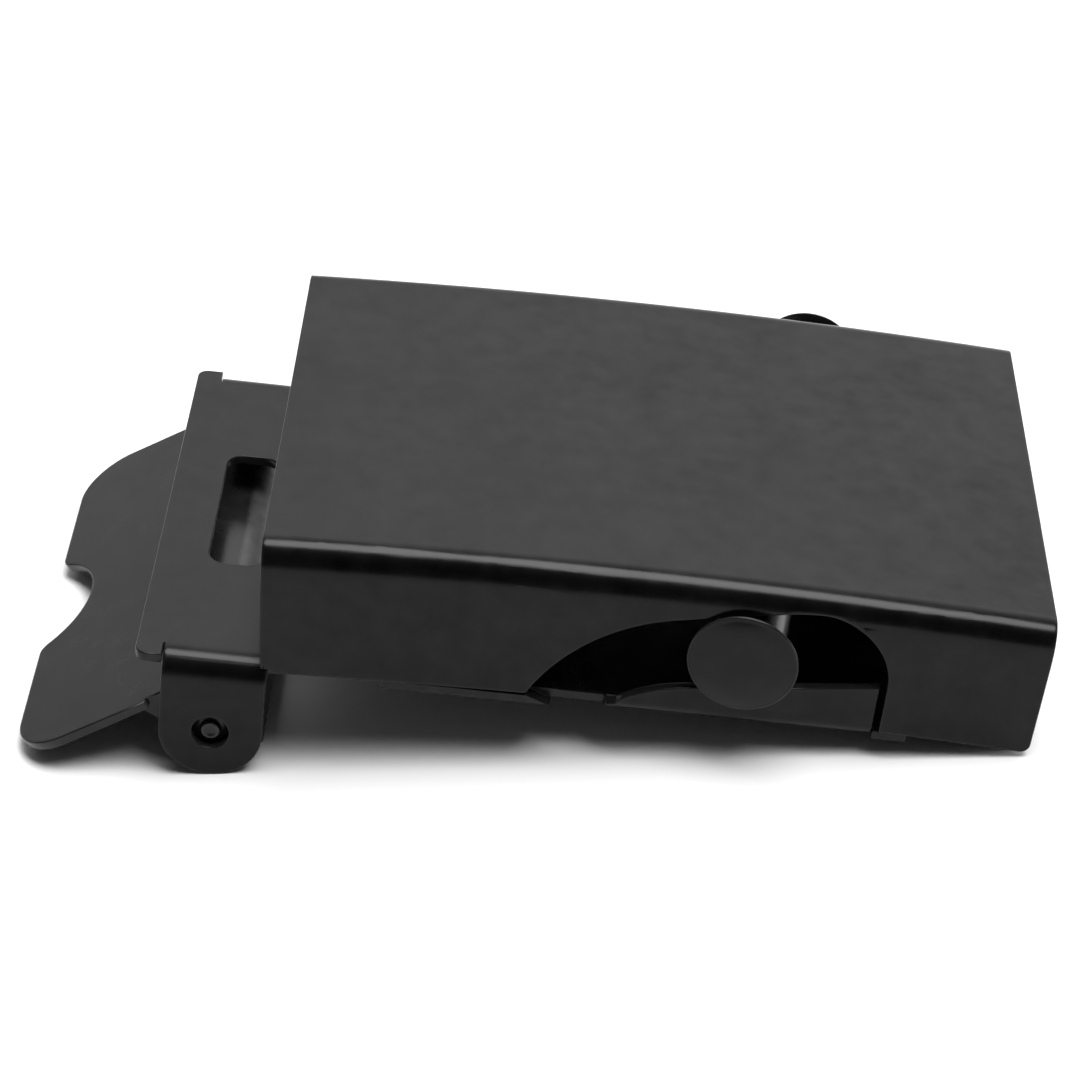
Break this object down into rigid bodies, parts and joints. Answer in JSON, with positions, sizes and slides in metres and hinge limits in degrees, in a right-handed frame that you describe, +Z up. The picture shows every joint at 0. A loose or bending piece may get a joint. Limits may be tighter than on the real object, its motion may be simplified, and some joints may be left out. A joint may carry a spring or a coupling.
{
  "type": "web belt buckle",
  "caption": "Black steel web belt buckle with an arched box cover, a sliding roller that wedges the webbing and a hinged clamp lever for its fixed end, lying open.",
  "frame": {"origin": "on the surface the buckle lies on, below the middle of its overall box and on the buckle's middle plane", "axes": "+X along the webbing, from the tip of the clamp lever to the buckle's open right end; +Y across the buckle, away from the viewer of the picture; +Z up from the surface"},
  "size_m": [0.0714, 0.0431, 0.0185],
  "materials": {
    "black_coated_steel": "satin black coating",
    "black_coated_roller": "satin black coating",
    "dark_pin": "blackened steel"
  },
  "bodies": {
    "frame": {"cover": "black_coated_steel", "back_frame": "black_coated_steel", "clamp_pin": "dark_pin"},
    "lever": {"clamp_lever": "black_coated_steel"},
    "roller": {"roller_bar": "black_coated_roller", "roller_knob_near": "black_coated_roller", "roller_knob_far": "black_coated_roller"}
  },
  "joints": [
    {"name": "lever_hinge", "type": "hinge", "parent": "frame", "child": "lever", "pos_m": [-0.02158, 0, 0.00355], "axis": [0, -1, 0], "range_deg": [-18, 144]},
    {"name": "roller_slide", "type": "slide", "parent": "frame", "child": "roller", "axis": [0.9994, 0, -0.0353], "range_m": [-0.0052, 0.0005]}
  ]
}
